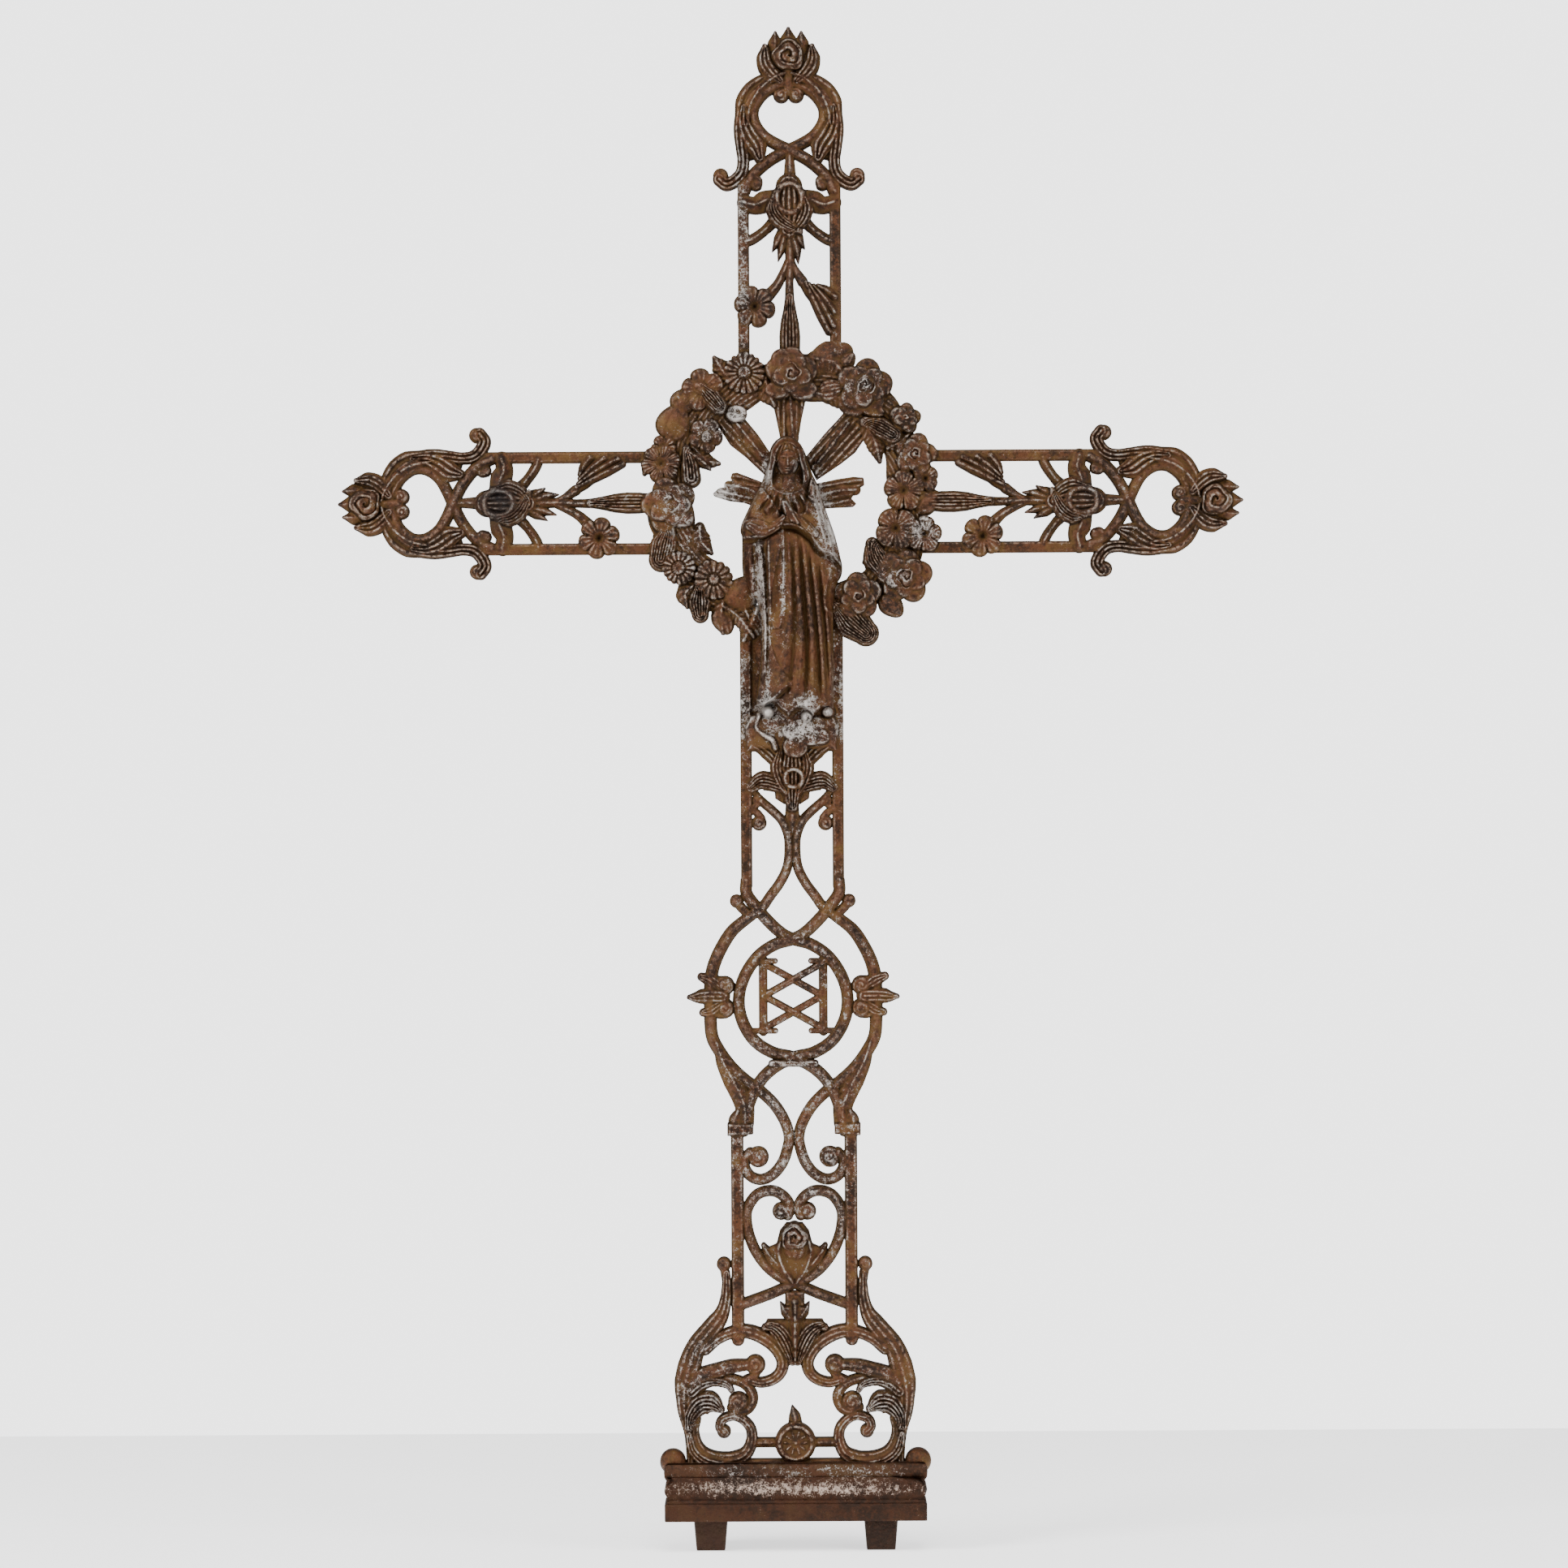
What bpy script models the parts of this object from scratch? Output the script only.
"""Openwork cast iron grave cross: one casting with rails, scrolls, a flower wreath and a praying figure.

Metres, +Z up, front towards -Y. The origin is the middle of the plinth's underside, where it beds on its stone.
The ornament of each panel is drawn on squared paper: points count squares across from the panel's middle line
and up from its foot, and the panel's named width and height say how large a square is.
"""

import math

import bmesh
import bpy
import numpy as np
from mathutils import Matrix, Vector

# Rails and bands
RAIL_WIDTH = 0.0105
RAIL_DEPTH = 0.012
RAIL_OFFSET = 0.0424
LOWER_RAIL_OFFSET = 0.0525
BAND_WIDTH = 0.0092
BAND_DEPTH = 0.0115
BACK = 0.006

# Heights of the panels, from the plinth up
PLINTH_HEIGHT = 0.0525
BASE_HEIGHT = 0.120
LOWER_HEIGHT = 0.19125
MEDALLION_HEIGHT = 0.210
UPPER_HEIGHT = 0.13875
FIGURE_FIELD_HEIGHT = 0.22575

# Arms, measured from the middle of the wreath
TOP_REACH = 0.434
SIDE_REACH = 0.4135
WREATH_RADIUS = 0.1125

# Plinth and lugs
PLINTH_LENGTH = 0.2415
PLINTH_DEPTH = 0.054
PLINTH_RAIL_HEIGHT = 0.014
PLINTH_BAND_HEIGHT = 0.0175
PLINTH_BULGE = 0.0045
KNOB_RADIUS = 0.0105
LUG_OFFSET = 0.0785
LUG_WIDTH = 0.0265
LUG_HEIGHT = 0.0285
LUG_DEPTH = 0.024

# Figure and flowers, how far they stand out, and the step by which other depths are counted
FIGURE_DEPTH = 0.030
FLOWER_DEPTH = 0.0195
RELIEF = BAND_DEPTH / 23

# Squares of the drawing from the middle line to the rail, and along each panel
RAIL_SQUARES = 56.5
LOWER_RAIL_SQUARES = 70
ARM_SQUARES = 579
ARM_FOOT_SQUARES = 168
WREATH_SQUARES = 150

TURN = math.radians(28)
FINE_STEPS = 12
WELD = 1e-6
KEPT_SHARE = 0.65

def clear_scene():
    for old in list(bpy.data.objects):
        bpy.data.objects.remove(old)


def rusty_iron():
    """Rust brown iron with remains of silver grey paint."""
    iron = bpy.data.materials.new("weathered_iron")
    iron.use_nodes = True
    shader = iron.node_tree.nodes["Principled BSDF"]
    shader.inputs["Base Color"].default_value = (0.16, 0.085, 0.045, 1)
    shader.inputs["Roughness"].default_value = 0.62
    shader.inputs["Metallic"].default_value = 0.45
    return iron


class Panel:
    """A panel of the drawing: squares across and up become metres in the cross's front view."""

    def __init__(self, foot, height, squares_up, half_width, squares_across):
        self.foot = foot
        self.across = half_width / squares_across
        self.up = height / squares_up

    def at(self, *points):
        return [Vector((x * self.across, self.foot + up * self.up)) for x, up in points]


class Arm:
    """An arm of the cross: squares (out, side), with its foot on the wreath and its tip at the reach."""

    def __init__(self, reach, out, side, centre):
        foot = WREATH_RADIUS * ARM_FOOT_SQUARES / WREATH_SQUARES
        self.foot = Vector(centre) + Vector(out) * foot
        self.out = Vector(out) * (reach - foot) / (ARM_SQUARES - ARM_FOOT_SQUARES)
        self.side = Vector(side) * RAIL_OFFSET / RAIL_SQUARES

    def at(self, *points):
        return [self.foot + self.out * (out - ARM_FOOT_SQUARES) + self.side * side for out, side in points]


def smooth(points, steps=FINE_STEPS):
    """A Catmull-Rom curve through the points."""
    ends = [2 * points[0] - points[1], *points, 2 * points[-1] - points[-2]]
    curve = []
    for a, b, c, d in zip(ends, ends[1:], ends[2:], ends[3:]):
        for k in range(steps):
            t = k / steps
            curve.append(
                0.5
                * (
                    2 * b
                    + (c - a) * t
                    + (2 * a - 5 * b + 4 * c - d) * t**2
                    + (3 * b - a - 3 * c + d) * t**3
                )
            )
    return [*curve, points[-1]]


def thinned(curve, turn=TURN):
    """The curve's points that are needed so that no step turns by more than the angle, with their place along it."""
    kept = [0]
    turned = 0.0
    for i in range(1, len(curve) - 1):
        turned += (curve[i + 1] - curve[i]).angle(curve[i] - curve[i - 1], 0)
        if turned > turn:
            kept.append(i)
            turned = 0.0
    kept.append(len(curve) - 1)
    return [(curve[i], i / (len(curve) - 1)) for i in kept]


def flat_curve(name, dimensions="2D"):
    curve = bpy.data.curves.new(name, "CURVE")
    curve.dimensions = dimensions
    curve.resolution_u = 1
    return curve


def stand_up(depth_at):
    """Turns a drawing in XY into the front view, with its local Z towards the viewer."""
    return Matrix.Translation((0, depth_at, 0)) @ Matrix.Rotation(math.pi / 2, 4, "X")


def welded(mesh):
    """Joins vertices that lie on each other and drops stray edges and flaps; faces turn outward."""
    data = bmesh.new()
    data.from_mesh(mesh)
    bmesh.ops.remove_doubles(data, verts=data.verts, dist=WELD)
    flaps = {face for edge in data.edges if len(edge.link_faces) == 1 for face in edge.link_faces}
    bmesh.ops.delete(data, geom=list(flaps), context="FACES")
    bmesh.ops.delete(data, geom=[edge for edge in data.edges if not edge.link_faces], context="EDGES")
    bmesh.ops.recalc_face_normals(data, faces=data.faces)
    data.to_mesh(mesh)
    data.free()


class Casting:
    """Collects the shapes of the cross and fuses them into one solid."""

    def __init__(self):
        self.shapes = bpy.data.collections.new("shapes")
        self.guides = bpy.data.collections.new("guides")
        for collection in (self.shapes, self.guides):
            bpy.context.scene.collection.children.link(collection)
        self.sections = {}

    def section(self, width, depth, crest):
        """A band's section, flat at the back: chamfered towards the front, or rising to a sharp crest."""
        key = (round(width, 5), round(depth, 5), crest)
        if key not in self.sections:
            curve = flat_curve("band_section")
            half = width / 2
            front = [(0, depth)] if crest else [(-half * 0.62, depth), (half * 0.62, depth)]
            corners = [(-half, 0), *front, (half, 0)]
            line = curve.splines.new("POLY")
            line.points.add(len(corners) - 1)
            for point, (x, y) in zip(line.points, corners):
                point.co = (x, y, 0, 1)
            line.use_cyclic_u = True
            guide = bpy.data.objects.new("band_section", curve)
            guide.hide_render = True
            guide.display_type = "WIRE"
            self.guides.objects.link(guide)
            self.sections[key] = guide
        return self.sections[key]

    def keep(self, obj):
        """Makes the object a welded mesh in place and stores it with the other shapes."""
        bpy.context.scene.collection.objects.link(obj)
        bpy.context.view_layer.update()
        mesh = bpy.data.meshes.new_from_object(
            obj.evaluated_get(bpy.context.evaluated_depsgraph_get())
        )
        mesh.transform(obj.matrix_world)
        welded(mesh)
        made = bpy.data.objects.new(obj.name, mesh)
        bpy.data.objects.remove(obj)
        self.shapes.objects.link(made)
        return made

    def band(self, points, width=BAND_WIDTH, depth=BAND_DEPTH, back=BACK, swell=None, crest=False):
        """A band along a smooth path. swell gives its size at the path's points as shares of the full one."""
        path = thinned(smooth(points) if len(points) > 2 else points)
        curve = flat_curve("band")
        line = curve.splines.new("POLY")
        line.points.add(len(path) - 1)
        for point, (place, share) in zip(line.points, path):
            point.co = (place.x, place.y, 0, 1)
            if swell:
                point.radius = np.interp(share, np.linspace(0, 1, len(swell)), swell)
        curve.bevel_mode = "OBJECT"
        curve.bevel_object = self.section(width, depth, crest)
        curve.use_fill_caps = True
        obj = bpy.data.objects.new("band", curve)
        obj.matrix_world = stand_up(back)
        return self.keep(obj)

    def plate(self, outline, depth, back=BACK):
        """A flat plate with the outline's shape."""
        curve = flat_curve("plate")
        curve.fill_mode = "BOTH"
        curve.extrude = depth / 2
        line = curve.splines.new("POLY")
        line.points.add(len(outline) - 1)
        for point, place in zip(line.points, outline):
            point.co = (place.x, place.y, 0, 1)
        line.use_cyclic_u = True
        obj = bpy.data.objects.new("plate", curve)
        obj.matrix_world = stand_up(back - depth / 2)
        return self.keep(obj)

    def made(self, name, data, centre, back=BACK, turned=0.0):
        """Stores a bmesh drawn in XY with +Z to the viewer, placed in the front view."""
        mesh = bpy.data.meshes.new(name)
        data.to_mesh(mesh)
        data.free()
        obj = bpy.data.objects.new(name, mesh)
        obj.matrix_world = (
            Matrix.Translation((centre.x, back, centre.y))
            @ Matrix.Rotation(math.pi / 2, 4, "X")
            @ Matrix.Rotation(turned, 4, "Z")
        )
        return self.keep(obj)

    def ball(self, centre, radius, back=BACK, sides=6):
        """A round knob, such as the end of a scroll, standing on the back plane."""
        data = bmesh.new()
        bmesh.ops.create_cone(
            data,
            cap_ends=True,
            segments=sides,
            radius1=radius,
            radius2=radius * 0.55,
            depth=radius * 1.9,
        )
        bmesh.ops.translate(data, verts=data.verts, vec=(0, 0, radius * 0.95))
        return self.made("ball", data, centre, back)

    def whorl(self, rows, centre, turned=0.0):
        """A flower as a skin through rows of petals, each row (radius, height, turn, points, notch)."""
        data = bmesh.new()
        rings = []
        for radius, height, turn, points, notch in rows:
            ring = []
            for k in range(points):
                reach = radius * (notch if k % 2 else 1.0)
                angle = turn + math.tau * k / points
                ring.append(data.verts.new((reach * math.cos(angle), reach * math.sin(angle), height)))
            rings.append(ring)
        for low, high in zip(rings, rings[1:]):
            if len(high) == 1:
                for k in range(len(low)):
                    data.faces.new((low[k], low[(k + 1) % len(low)], high[0]))
                continue
            for k in range(len(low)):
                j = (k + 1) % len(low)
                data.faces.new((low[k], low[j], high[j], high[k]))
        data.faces.new(rings[0])
        if len(rings[-1]) > 1:
            data.faces.new(rings[-1])
        bmesh.ops.recalc_face_normals(data, faces=data.faces)
        return self.made("whorl", data, centre, BACK, turned)

    def rose(self, centre, radius, height, turned=0.0, petals=6):
        """A rose: a cup of outer petals round a raised heart that is turned half a petal."""
        half_petal = math.pi / petals
        self.whorl(
            (
                (radius * 0.9, 0, 0, petals, 1),
                (radius, height * 0.5, 0, petals, 1),
                (radius * 0.62, height * 0.55, half_petal, petals, 1),
                (radius * 0.42, height, half_petal * 2, petals, 1),
            ),
            centre,
            turned,
        )

    def daisy(self, centre, radius, height, petals=5, turned=0.0):
        """An open flower: a star of petals that rises to its middle."""
        self.whorl(
            (
                (radius, 0, 0, petals * 2, 0.78),
                (radius, height * 0.75, 0, petals * 2, 0.78),
                (0, height, 0, 1, 1),
            ),
            centre,
            turned,
        )

    def round_box(self, centre, radius, height):
        """A round box with a raised rim, standing on the back plane."""
        sides = 12
        profile = ((1.0, 0.0), (1.0, 0.9), (0.86, 1.0), (0.78, 0.8))
        self.whorl([(radius * share, height * high, 0, sides, 1) for share, high in profile], centre)

    def leaf(self, points, width, depth=BAND_DEPTH, swell=(0.35, 1.0, 0.9, 0.2), back=BACK):
        """A leaf along its crested midrib, broad in the middle and narrow at its tip."""
        return self.band(points, width, depth, back, swell, crest=True)

    def loft(self, rings, place=Matrix.Identity(4)):
        """A closed skin through rings of equally many points, capped at both ends."""
        data = bmesh.new()
        rows = [[data.verts.new(place @ Vector(p)) for p in ring] for ring in rings]
        count = len(rows[0])
        for low, high in zip(rows, rows[1:]):
            for i in range(count):
                j = (i + 1) % count
                data.faces.new((low[i], low[j], high[j], high[i]))
        data.faces.new(rows[0])
        data.faces.new(rows[-1])
        bmesh.ops.recalc_face_normals(data, faces=data.faces)
        mesh = bpy.data.meshes.new("loft")
        data.to_mesh(mesh)
        data.free()
        return self.keep(bpy.data.objects.new("loft", mesh))

    def fused(self, name, iron):
        """One solid made of all shapes."""
        shapes = list(self.shapes.objects)
        cross = bpy.data.objects.new(name, shapes[0].data.copy())
        bpy.context.scene.collection.objects.link(cross)
        self.shapes.objects.unlink(shapes[0])
        union = cross.modifiers.new("union", "BOOLEAN")
        union.operation = "UNION"
        union.operand_type = "COLLECTION"
        union.collection = self.shapes
        union.solver = "MANIFOLD"
        # The union leaves many slivers along the flat back, which a light thinning takes out
        thinning = cross.modifiers.new("thinning", "DECIMATE")
        thinning.ratio = KEPT_SHARE
        bpy.context.view_layer.update()
        mesh = bpy.data.meshes.new_from_object(
            cross.evaluated_get(bpy.context.evaluated_depsgraph_get())
        )
        bpy.data.objects.remove(cross)
        for shape in shapes:
            bpy.data.objects.remove(shape)
        welded(mesh)
        mesh.materials.clear()
        mesh.materials.append(iron)
        return bpy.data.objects.new(name, mesh)


AXIS = (
    PLINTH_HEIGHT
    + BASE_HEIGHT
    + LOWER_HEIGHT
    + MEDALLION_HEIGHT
    + UPPER_HEIGHT
    + FIGURE_FIELD_HEIGHT
)
BASE = Panel(PLINTH_HEIGHT, BASE_HEIGHT, 160, LOWER_RAIL_OFFSET, LOWER_RAIL_SQUARES)
LOWER = Panel(BASE.foot + BASE_HEIGHT, LOWER_HEIGHT, 255, LOWER_RAIL_OFFSET, LOWER_RAIL_SQUARES)
MEDALLION = Panel(LOWER.foot + LOWER_HEIGHT, MEDALLION_HEIGHT, 280, RAIL_OFFSET, RAIL_SQUARES)
UPPER = Panel(MEDALLION.foot + MEDALLION_HEIGHT, UPPER_HEIGHT, 185, RAIL_OFFSET, RAIL_SQUARES)
FIELD = Panel(UPPER.foot + UPPER_HEIGHT, FIGURE_FIELD_HEIGHT, 301, RAIL_OFFSET, RAIL_SQUARES)
SQUARE = RAIL_OFFSET / RAIL_SQUARES
WREATH = Panel(AXIS + 6 * SQUARE, WREATH_RADIUS, WREATH_SQUARES, WREATH_RADIUS, WREATH_SQUARES)

# Paths of the drawing, for the left side of each panel; the right side is their mirror image
HEART_STRAND = (
    (515, -5), (507, -27), (491, -41), (477, -44), (464, -40.5), (451, -30.5), (442, -16.5),
    (434, 0), (424, 19.5), (412, 35.5), (399, 47.5), (380, 55.5),
)
ACANTHUS = (
    (518, -8), (513, -32), (498, -47), (479, -53), (460, -58), (440, -58), (420, -55), (405, -57),
    (395, -67), (391, -78), (399, -87),
)
ACANTHUS_WIDTHS = (14, 24, 29, 29, 20, 17, 14, 13, 15, 17, 17)
ACANTHUS_LOBE = ((452, -60), (449, -52), (438, -40), (428, -30), (423, -42), (421, -60))
FINIAL = (
    (580, 0), (574, 8), (577, 15), (564, 20), (555, 22), (557, 29), (543, 36), (532, 39), (522, 31),
    (507, 12),
)
TRUMPET = (
    (294, 5), (274, 18), (266, 29), (263, 42), (267, 54), (200, 54), (222, 41), (242, 29), (264, 14),
    (280, 4),
)
BLOSSOM = ((376, 20), (355, 23), (344, 19), (332, 14), (304, 15), (314, 6))
RING_STRAND = (
    (-57, 300), (-57, 285), (-47, 270), (-32, 252), (-15, 236), (0, 228), (23, 221), (44, 206), (60, 182),
    (68, 155), (64, 128), (49, 103), (25, 88), (0, 82), (-22, 72), (-37, 60), (-47, 45), (-55, 30),
    (-60, 12), (-62, -6),
)
OUTER_TOP = (
    (-38, 108), (-23, 104), (-11, 93), (-5, 75), (-4, 55), (-7, 35), (-16, 17), (-27, 2), (-37, -13),
)
OUTER_MIDDLE = (
    (-53, 256), (-74, 239), (-88, 218), (-97, 198), (-101, 180), (-102, 155), (-102, 130), (-100, 108),
    (-91, 90), (-77, 71), (-60, 55), (-40, 40), (-23, 23), (-11, 3),
)
OUTER_FOOT = (
    (-6, 240), (-8, 225), (-14, 208), (-26, 193), (-40, 186), (-53, 190), (-60, 200), (-60, 212),
    (-52, 221),
)
OUTER_SHARES = tuple(np.interp(range(31), (0, 7, 10, 13, 20, 23, 30), (0.8, 0.8, 1.15, 1.2, 0.95, 0.85, 0.85)))
SIDE_FLEUR = (
    (-129, 156), (-117, 164), (-116, 178), (-108, 189), (-96, 186), (-92, 154), (-96, 130), (-108, 135),
    (-115, 148),
)
LOWER_LEAF = ((-95, 100), (-85, 75), (-69, 48), (-59, 24), (-60, 4))
HEART = (
    (66, 33), (30, 46), (5, 57), (-18, 67), (-36, 82), (-50, 103), (-58, 128), (-58, 150), (-46, 168),
    (-28, 173), (-13, 166), (-5, 153), (-8, 141),
)
HEART_BUD = ((134, 0), (134, 11), (124, 18), (108, 22), (100, 40), (84, 34), (60, 6))
DROP = ((50, 13), (30, 12), (31, 17), (14, 9), (15, 34), (9, 37), (-8, 26), (-26, 14), (-38, 6))
BASE_SCROLL = (
    (-84, 232), (-84, 215), (-85, 200), (-91, 180), (-106, 160), (-123, 140), (-130, 118), (-134, 98),
    (-137, 80), (-136, 60), (-131, 40), (-128, 18), (-127, -6),
)
BASE_SCROLL_WIDTHS = (9, 13, 17, 26, 25, 25, 30, 28, 20, 16, 14, 14, 14)
BASE_ARCH = (
    (-111, 139), (-94, 152), (-76, 159), (-59, 160), (-41, 154), (-27, 144), (-18, 132), (-15, 120),
    (-19, 108), (-29, 100), (-43, 97), (-57, 101),
)
BASE_ARCH_WIDTHS = (17, 15, 15, 18, 19, 20, 18, 17, 15, 14, 13, 12)
BASE_HOOK = ((-84, 103), (-67, 97), (-58, 89), (-53, 78), (-57, 66), (-67, 61))
BASE_CURL = (
    (-122, 52), (-125, 38), (-122, 22), (-113, 10), (-97, 3), (-77, 2), (-61, 10), (-54, 25), (-55, 40),
    (-64, 51), (-76, 56), (-89, 52), (-93, 43), (-89, 34),
)
BASE_CURL_WIDTHS = (12, 13, 14, 16, 18, 20, 20, 16, 14, 13, 12, 12, 12, 13)
UPPER_FLOWER = (
    (187, 52), (175, 35), (163, 25), (153, 23), (155, 51), (134, 51), (129, 38), (121, 20), (116, 9),
)
FIGURE_LEFT = (
    (35, -45), (50, -45), (70, -43), (90, -40), (120, -37), (160, -38), (180, -43), (195, -54),
    (210, -59), (230, -60), (257, -60), (265, -62), (275, -60), (290, -53), (305, -46), (320, -38),
    (335, -32), (350, -28), (365, -26), (375, -20), (381, -10),
)
FIGURE_RIGHT = (
    (35, 52), (120, 52), (160, 50), (180, 52), (200, 56), (208, 62), (220, 64), (240, 60), (260, 55),
    (280, 48), (300, 40), (320, 34), (335, 28), (350, 23), (365, 17), (375, 7), (381, -2),
)

# Flowers of the wreath, from its middle: squares to the right, squares up, size in squares
ROSES = ((2, 153, 27), (94, 138, 22), (154, 53, 23), (141, -97, 26), (79, -122, 28), (-149, -9, 31))
DAISIES = (
    (-56, 153, 24), (-104, 130, 22), (139, 8, 22), (129, -37, 24), (163, -45, 20), (-159, 43, 22),
    (-94, -102, 23), (-139, -87, 19),
)
PANSIES = (
    (-142, 93, 20), (-107, 78, 20), (-124, 128, 14), (168, 18, 14), (-132, 38, 15), (-119, -52, 16),
    (80, -156, 24), (-54, -162, 25), (106, -77, 18),
)
BUDS = ((141, 98, 16), (118, -132, 14), (101, 83, 18), (-60, -122, 22), (-112, -132, 18), (53, 166, 19))
LEAVES = (
    (((50, 122), (113, 100)), 26), (((96, 78), (108, 44)), 24), (((-119, -44), (-102, -66)), 24),
    (((-150, -40), (-166, -72)), 26), (((-66, 118), (-64, 96)), 24), (((-34, 140), (-22, 116)), 26),
    (((-80, 148), (-90, 170)), 26), (((168, 0), (180, -10)), 22), (((-84, -136), (-86, -164)), 26),
)
WREATH_FROM = -68
WREATH_TO = 251


def build_arm(c, arm):
    for s in (1, -1):
        def line(*points):
            return arm.at(*[(out, s * side) for out, side in points])

        c.band(line((158, -56.5), (392, -56.5)), RAIL_WIDTH, RAIL_DEPTH)
        c.band(line(*HEART_STRAND), 13.5 * SQUARE, BAND_DEPTH + s * RELIEF)
        c.band(line(*ACANTHUS), SQUARE, BAND_DEPTH / 18, swell=ACANTHUS_WIDTHS)
        c.plate(line(*ACANTHUS_LOBE), 19 * RELIEF)
        c.ball(line((391, -40))[0], 8 * SQUARE)
        c.ball(line((402, -86))[0], 9.5 * SQUARE)
        c.ball(line((501, -8))[0], 9.5 * SQUARE)
        # Leaves of the blossom that reach the rails
        c.leaf(line((370, -10), (369, -56)), 27 * SQUARE, swell=(0.9, 1.0))
        c.leaf(line((350, -14), (333, -32), (320, -55)), 14 * SQUARE, swell=(1.4, 0.9, 0.9))
    c.plate(arm.at(*both_edges(FINIAL)), 24 * RELIEF)
    c.rose(arm.at((551, 0))[0], 19 * SQUARE, 42 * RELIEF, turned=0.2)
    c.plate(arm.at(*both_edges(BLOSSOM)), 20 * RELIEF)
    c.rose(arm.at((372, 0))[0], 21 * SQUARE, 42 * RELIEF, turned=0.2)
    c.band(arm.at((385, 0), (428, 0)), 14 * SQUARE, swell=(1.15, 0.8))
    c.band(arm.at((336, 0), (238, 0)), 10 * SQUARE, swell=(1.2, 0.9))
    c.leaf(arm.at((248, 0), (225, 0), (204, 0), (172, 0)), 27 * SQUARE, 30 * RELIEF, swell=(0.4, 0.8, 1.0, 0.7))
    # Side branches: a small flower to one side, a trumpet to the other
    c.band(arm.at((291, -3), (272, -12), (252, -32)), 13 * SQUARE, swell=(0.8, 0.9, 1.1))
    c.daisy(arm.at((242, -45))[0], 21 * SQUARE, 30 * RELIEF)
    c.plate(arm.at(*TRUMPET), 25 * RELIEF)


def both_edges(half):
    """An outline from its one half: the half and its mirror image, back to the start."""
    return [*half, *((out, -side) for out, side in reversed(half) if side)]


def build_wreath(c):
    outer = [garland_edge(a, 173, 6) for a in range(WREATH_FROM, WREATH_TO, 9)]
    inner = [garland_edge(a, 124, -4) for a in range(WREATH_TO, WREATH_FROM, -12)]
    c.plate(WREATH.at(*outer, *inner), 22 * RELIEF)
    for n, (x, up, size) in enumerate(ROSES):
        c.rose(WREATH.at((x, up))[0], size * SQUARE, FLOWER_DEPTH + (size - 20) * SQUARE * 0.5, turned=n)
    for n, (x, up, size) in enumerate(DAISIES):
        c.daisy(WREATH.at((x, up))[0], size * SQUARE, FLOWER_DEPTH, turned=n)
    for n, (x, up, size) in enumerate(PANSIES):
        c.daisy(WREATH.at((x, up))[0], size * SQUARE, FLOWER_DEPTH * 0.85, petals=4, turned=n)
    for x, up, size in BUDS:
        c.ball(WREATH.at((x, up))[0], size * SQUARE)
    for points, width in LEAVES:
        c.leaf(WREATH.at(*points), width * SQUARE, 29 * RELIEF, swell=(0.8, 0.3))


def garland_edge(angle, radius, wave):
    """A point of the garland's edge, which bulges in and out with its flowers."""
    reach = radius + wave * math.sin(math.radians(angle * 10))
    return reach * math.cos(math.radians(angle)), reach * math.sin(math.radians(angle))


def build_rays(c):
    """Five rays between the figure and the wreath; the two lowest have broken ends."""
    for outline in (
        ((-26, 440), (-11, 372), (6, 372), (18, 440)),
        ((-70, 425), (-40, 385), (-22, 358), (-34, 335), (-55, 357), (-72, 370), (-92, 400)),
        ((70, 414), (42, 385), (20, 360), (34, 330), (62, 350), (80, 362), (98, 388)),
        (
            (-33, 322), (-66, 338), (-74, 336), (-74, 330), (-70, 326), (-78, 320), (-88, 318),
            (-96, 312), (-94, 309), (-76, 303), (-58, 301), (-40, 296),
        ),
        (
            (36, 322), (57, 329), (77, 332), (90, 331), (91, 322), (80, 315), (75, 305), (81, 299),
            (77, 295), (42, 294),
        ),
    ):
        c.plate(FIELD.at(*outline), 16 * RELIEF, BACK - RELIEF)


def figure_side(outline, height):
    return np.interp(height, [h for h, _ in outline], [x for _, x in outline])


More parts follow.
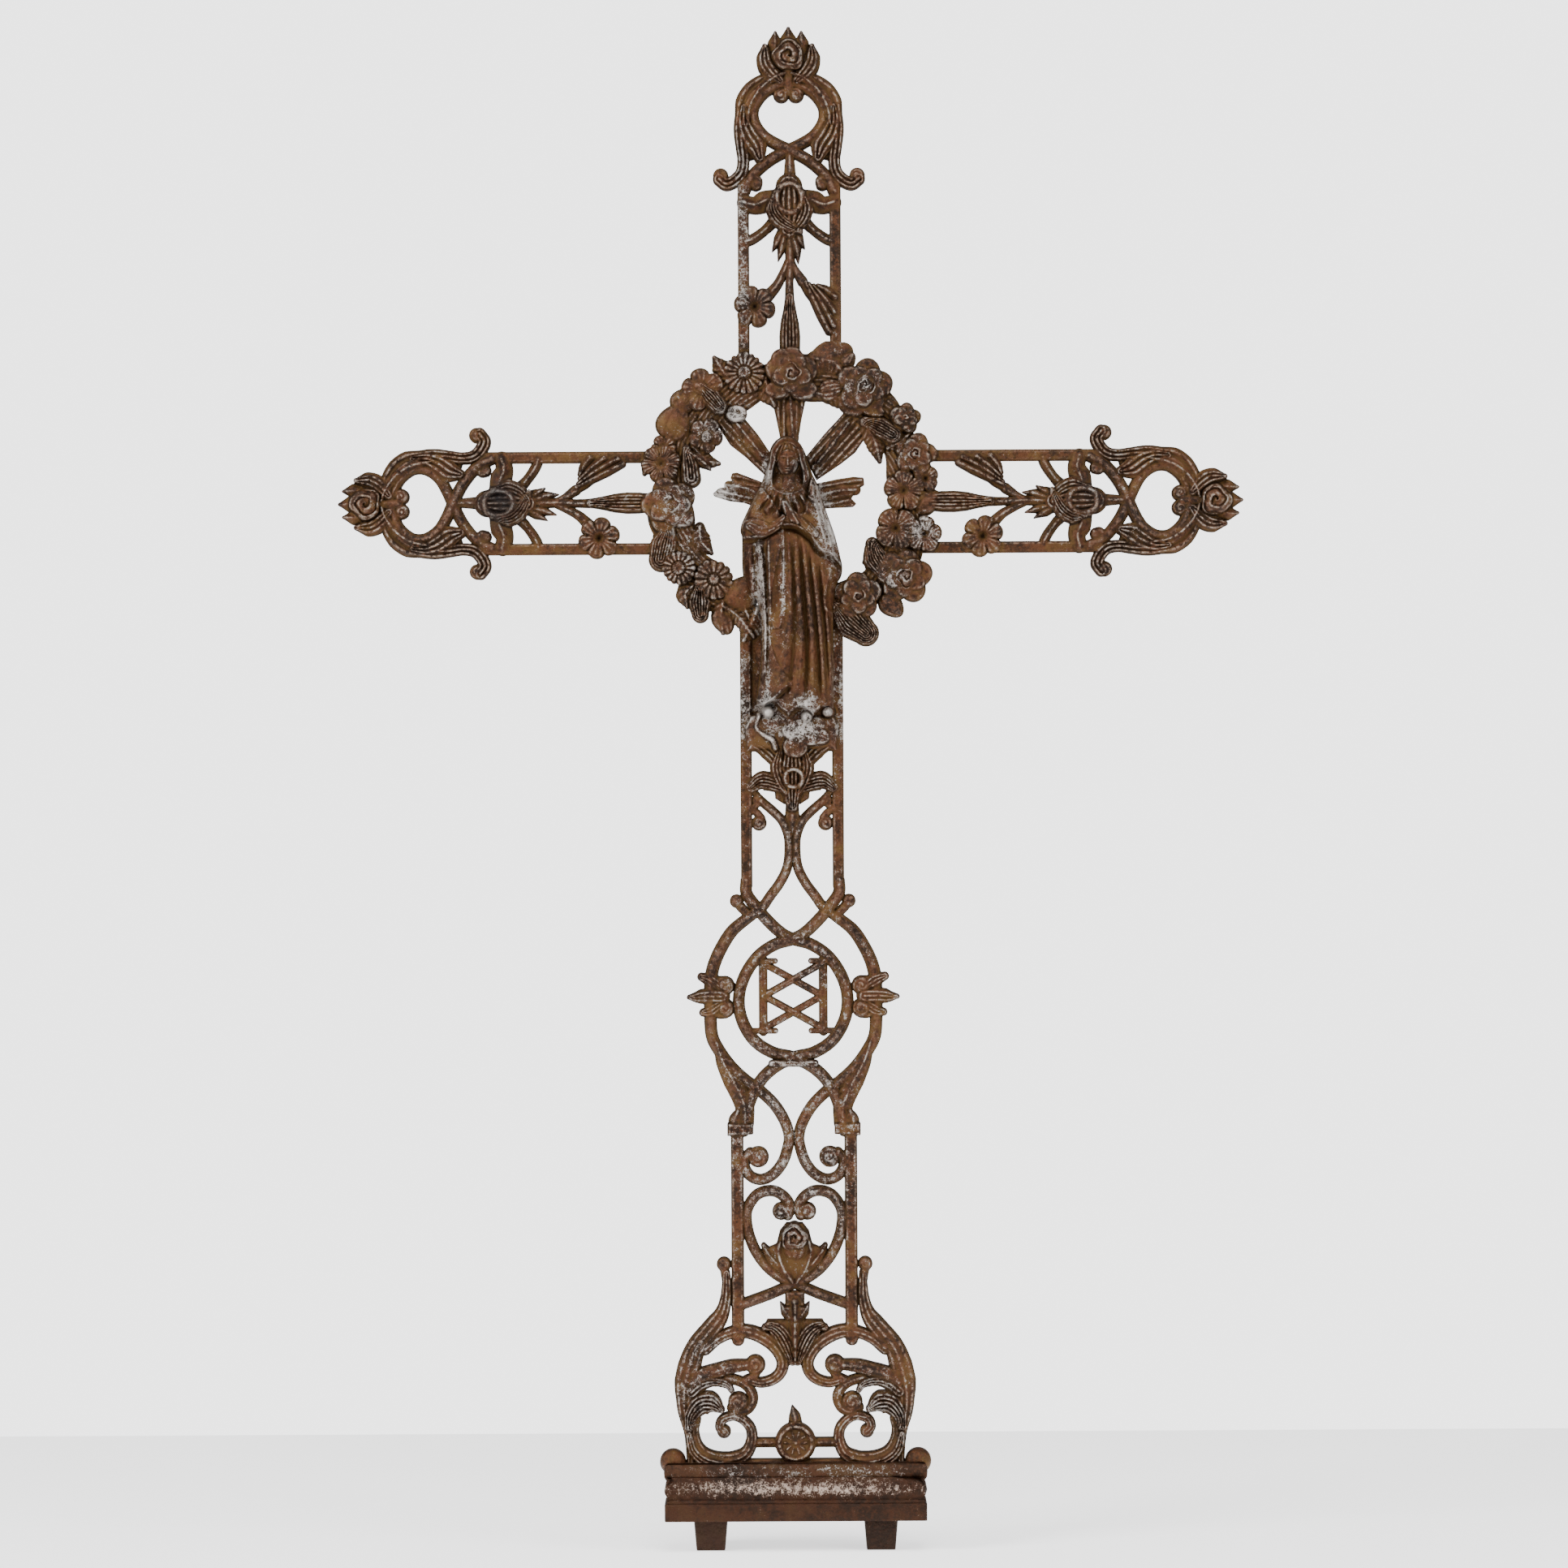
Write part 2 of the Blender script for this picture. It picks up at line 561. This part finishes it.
def build_figure(c):
    """The robe and veil: across each height a half round front, with folds below the waist."""
    heights = (
        35, 50, 75, 105, 135, 160, 178, 192, 206, 220, 240, 257, 270, 288, 310, 332, 350, 364, 375, 382,
    )
    rings = []
    for h in heights:
        left = figure_side(FIGURE_LEFT, h)
        right = figure_side(FIGURE_RIGHT, h)
        bulge = np.interp(h, (35, 160, 250, 300, 330, 368, 382), (0.86, 0.84, 1.0, 0.86, 0.72, 0.62, 0.3))
        fold = np.interp(h, (35, 170, 230), (5 * RELIEF, 4.5 * RELIEF, 0.0))
        ring = []
        for s in np.linspace(-1, 1, 11):
            x, z = FIELD.at(((left + right) / 2 + (right - left) / 2 * s, h))[0]
            round_front = (1 - abs(s) ** 2.6) ** 0.5
            deep = FIGURE_DEPTH * bulge * round_front + fold * math.cos(s * 15.7) * (1 - s * s)
            ring.append((x, BACK - 13 * RELIEF - deep, z))
        ring.append((ring[-1][0], BACK - RELIEF, ring[-1][2]))
        ring.append((ring[0][0], BACK - RELIEF, ring[0][2]))
        rings.append(ring)
    c.loft(rings)
    # Head under the veil, joined hands, sleeves and sash
    face = FIELD.at((-5, 354))[0]
    head = bmesh.new()
    bmesh.ops.create_uvsphere(head, u_segments=8, v_segments=6, radius=1.0)
    bmesh.ops.scale(head, verts=head.verts, vec=(19 * RELIEF, 25 * RELIEF, 19 * RELIEF))
    c.made("head", head, face, -34 * RELIEF)
    for tip, start, wide in (((-4, 288), (-55, 262), 34 * RELIEF), ((0, 288), (50, 268), 34 * RELIEF)):
        c.band(FIELD.at(start, tip), wide, 22 * RELIEF, -42 * RELIEF, swell=(1.3, 0.6))
    c.band(FIELD.at((-3, 272), (-3, 314)), 27 * RELIEF, 24 * RELIEF, -52 * RELIEF, swell=(1.0, 0.4))
    c.band(FIELD.at((-10, 214), (-16, 180), (-20, 148)), 20 * RELIEF, 12 * RELIEF, -54 * RELIEF, swell=(0.8, 1.0, 1.2))
    # Ground with the small serpent under the feet, and the plate that closes the back
    c.plate(FIELD.at((-57, -2), (-57, 30), (-48, 38), (48, 38), (57, 30), (57, -2)), 52 * RELIEF, BACK - 0.5 * RELIEF)
    c.plate(FIELD.at((-54, 20), (-54, 128), (54, 128), (54, 20)), 18 * RELIEF, BACK - 0.5 * RELIEF)
    c.band(
        FIELD.at((-44, 10), (-26, 19), (-4, 13), (18, 19), (42, 12)),
        18 * RELIEF, 18 * RELIEF, -36.5 * RELIEF, swell=(0.4, 0.9, 1.0, 1.0, 1.1),
    )
    for x in (-12, 12):
        c.ball(FIELD.at((x, 36))[0], 17 * RELIEF, -32 * RELIEF)


def build_upper(c):
    for s in (-1, 1):
        c.band(UPPER.at((s * 56.5, 15), (s * 56.5, 360)), RAIL_WIDTH, RAIL_DEPTH)
        c.leaf(UPPER.at((s * 14, 143), (s * 52, 145)), 22 * SQUARE, 27 * RELIEF, swell=(1.1, 0.9))
        c.ball(UPPER.at((s * 42, 120))[0], 9 * SQUARE)
        c.band(UPPER.at((s * 50, 134), (s * 44, 118), (s * 50, 104)), 9 * SQUARE)
        c.ball(UPPER.at((s * 42, 91))[0], 10 * SQUARE)
        c.band(UPPER.at((s * 52, 104), (s * 34, 106)), 10 * SQUARE)
    c.plate(UPPER.at(*upright(UPPER_FLOWER)), 21 * RELIEF)
    c.rose(UPPER.at((0, 150))[0], 17 * SQUARE, 40 * RELIEF, turned=0.3)
    c.leaf(UPPER.at((0, 192), (0, 165)), 40 * SQUARE, 32 * RELIEF, swell=(1.0, 0.6))
    c.band(UPPER.at((0, 125), (0, 86)), 20 * SQUARE, swell=(0.9, 1.0))


def build_medallion(c):
    for s in (-1, 1):
        def line(panel, points):
            return panel.at(*[(-s * x, up) for x, up in points])

        c.band(line(MEDALLION, RING_STRAND), 14 * SQUARE, BAND_DEPTH + (2 + s) * RELIEF)
        c.band(
            [*line(UPPER, OUTER_TOP), *line(MEDALLION, OUTER_MIDDLE), *line(LOWER, OUTER_FOOT)],
            14 * SQUARE, BAND_DEPTH - (1.5 + 0.5 * s) * RELIEF,
            swell=OUTER_SHARES,
        )
        c.ball(line(LOWER, ((-45, 216),))[0], 13.5 * SQUARE)
        c.ball(line(MEDALLION, ((-69, 275),))[0], 9 * SQUARE)
        c.band(line(MEDALLION, ((-69, 275), (-57, 260))), 13 * SQUARE)
        c.band(line(MEDALLION, LOWER_LEAF), SQUARE, BAND_DEPTH / 18, swell=(9, 18, 27, 24, 22))
        # Side fleur with its two curls
        c.plate(line(MEDALLION, SIDE_FLEUR), 21 * RELIEF)
        for up in (172, 142):
            c.ball(line(MEDALLION, ((-83, up),))[0], 11 * SQUARE)
        # Lattice in the middle of the ring
        c.band(line(MEDALLION, ((-36, 205), (-36, 111))), 10 * SQUARE, 18 * RELIEF)
        c.band(line(MEDALLION, ((-26, 201), (-52, 201))), 7 * SQUARE, 19 * RELIEF)
        c.band(line(MEDALLION, ((-22, 115), (-54, 115))), 7 * SQUARE, 19 * RELIEF)
        c.band(line(MEDALLION, ((-36, 200), (36, 158))), 8 * SQUARE, (21 + s) * RELIEF)
        c.band(line(MEDALLION, ((-36, 158), (36, 116))), 8 * SQUARE, (21 - s) * RELIEF)
        c.band(line(LOWER, ((-80, 250), (-50, 250))), 13 * SQUARE, 27 * RELIEF)
        c.band(line(LOWER, ((-74, 252), (-70, 268))), 13 * SQUARE, swell=(1.0, 0.7))
    c.band(MEDALLION.at((-26, 75), (26, 75)), 9 * SQUARE, 28 * RELIEF)


def build_lower(c):
    for s in (-1, 1):
        def line(points):
            return LOWER.at(*[(-s * x, up) for x, up in points])

        c.band(line(((-70, -2), (-70, 258))), 15 * SQUARE, RAIL_DEPTH)
        c.band(line(HEART), 13 * SQUARE)
        c.ball(line(((-14, 148),))[0], 12 * SQUARE)
    c.plate(LOWER.at(*upright(HEART_BUD)), 25 * RELIEF)
    c.rose(LOWER.at((1, 119))[0], 15 * SQUARE, 36 * RELIEF, turned=0.3)
    c.leaf(LOWER.at((-30, 96), (0, 78), (32, 96)), 20 * SQUARE, 31 * RELIEF, swell=(0.5, 1.0, 0.5))
    c.plate(LOWER.at(*upright(DROP)), 22 * RELIEF)
    c.leaf(LOWER.at((0, 24), (0, -12), (0, -42)), 34 * SQUARE, 30 * RELIEF, swell=(0.8, 0.9, 0.2))


def upright(half):
    """The outline of a form that is the same left and right, from (height, half width) points."""
    return [*((-x, up) for up, x in half), *((x, up) for up, x in reversed(half) if x)]


def build_base(c):
    for s in (-1, 1):
        def line(points):
            return BASE.at(*[(-s * x, up) for x, up in points])

        c.band(line(BASE_SCROLL), SQUARE, BAND_DEPTH / 19, swell=BASE_SCROLL_WIDTHS)
        c.ball(line(((-88, 244),))[0], 9 * SQUARE)
        c.band(line(((-88, 243), (-86, 226))), 11 * SQUARE)
        c.band(line(BASE_ARCH), SQUARE, BAND_DEPTH / 16, swell=BASE_ARCH_WIDTHS)
        c.ball(line(((-49, 120),))[0], 12 * SQUARE)
        c.band(line(((-49, 120), (-53, 102))), 13 * SQUARE)
        c.leaf(line(((-134, 102), (-105, 112), (-80, 117), (-60, 118))), 17 * SQUARE, 27 * RELIEF,
               swell=(1.5, 0.9, 1.0, 0.8))
        c.band(line(BASE_HOOK), 13 * SQUARE, 22 * RELIEF)
        c.ball(line(((-71, 72),))[0], 13.5 * SQUARE)
        c.leaf(line(((-128, 92), (-99, 98), (-84, 97), (-78, 89))), 11 * SQUARE, 24 * RELIEF,
               swell=(2.2, 1.0, 0.9, 0.6))
        c.leaf(line(((-132, 60), (-110, 70), (-92, 73))), 34 * SQUARE, 27 * RELIEF, swell=(0.8, 1.0, 0.3))
        c.band(line(BASE_CURL), SQUARE, BAND_DEPTH / 15, swell=BASE_CURL_WIDTHS)
        c.band(line(((-53, 23), (0, 23))), 12 * SQUARE, 20 * RELIEF)
    c.round_box(BASE.at((0, 23))[0], 24 * SQUARE, 27 * RELIEF)
    c.band(BASE.at((0, 40), (-3, 66)), 16 * SQUARE, swell=(1.0, 0.25))
    c.band(BASE.at((0, 8), (0, -8)), 14 * SQUARE)


def build_plinth(c):
    """A moulded block: a band, a groove and a sloped roll, then the rail with its knobs, and two lugs."""
    half = PLINTH_LENGTH / 2
    deep = PLINTH_DEPTH / 2
    foot = PLINTH_BAND_HEIGHT
    roll = PLINTH_HEIGHT - PLINTH_BAND_HEIGHT - PLINTH_RAIL_HEIGHT
    rows = [(0.0, 0.0), (foot * 0.94, 0.0), (foot, 0.002), (foot + roll * 0.07, 0.002)]
    for k in range(5):
        inset = PLINTH_BULGE * k / 4 + PLINTH_BULGE * 0.8 * (1 - math.sin(math.pi * k / 4))
        rows.append((foot + roll * (0.1 + 0.8 * k / 4), inset))
    rows.append((PLINTH_HEIGHT - PLINTH_RAIL_HEIGHT * 0.8, PLINTH_BULGE * 2))
    c.loft([box_ring(half - inset, deep - inset, z) for z, inset in rows])
    rail = ((-1.0, 0.004), (-0.93, 0.001), (-0.6, 0.0), (-0.14, 0.001), (0.0, 0.004))
    c.loft(
        [
            box_ring(half + 0.0015 - inset, deep * 0.72 - inset, PLINTH_HEIGHT + PLINTH_RAIL_HEIGHT * share)
            for share, inset in rail
        ]
    )
    for s in (-1, 1):
        c.ball(Vector((s * (half - 0.0070), PLINTH_HEIGHT - 0.002)), KNOB_RADIUS, KNOB_RADIUS, sides=8)
        c.loft(
            [
                box_ring(LUG_WIDTH / 2, LUG_DEPTH / 2, -LUG_HEIGHT, s * LUG_OFFSET),
                box_ring(LUG_WIDTH * 0.66, LUG_DEPTH * 0.58, PLINTH_BAND_HEIGHT / 2, s * LUG_OFFSET),
            ]
        )


def box_ring(half_x, half_y, z, middle=0.0):
    """The four corners of a level rectangle."""
    return [
        (middle - half_x, -half_y, z),
        (middle + half_x, -half_y, z),
        (middle + half_x, half_y, z),
        (middle - half_x, half_y, z),
    ]


def main():
    clear_scene()
    c = Casting()
    build_plinth(c)
    build_base(c)
    build_lower(c)
    build_medallion(c)
    build_upper(c)
    build_figure(c)
    build_rays(c)
    build_wreath(c)
    centre = (0, AXIS)
    build_arm(c, Arm(TOP_REACH, (0, 1), (1, 0), centre))
    build_arm(c, Arm(SIDE_REACH, (-1, 0), (0, 1), centre))
    build_arm(c, Arm(SIDE_REACH, (1, 0), (0, 1), centre))
    cross = c.fused("cross", rusty_iron())
    home = bpy.data.collections.new("cast_iron_grave_cross")
    bpy.context.scene.collection.children.link(home)
    home.objects.link(cross)


main()
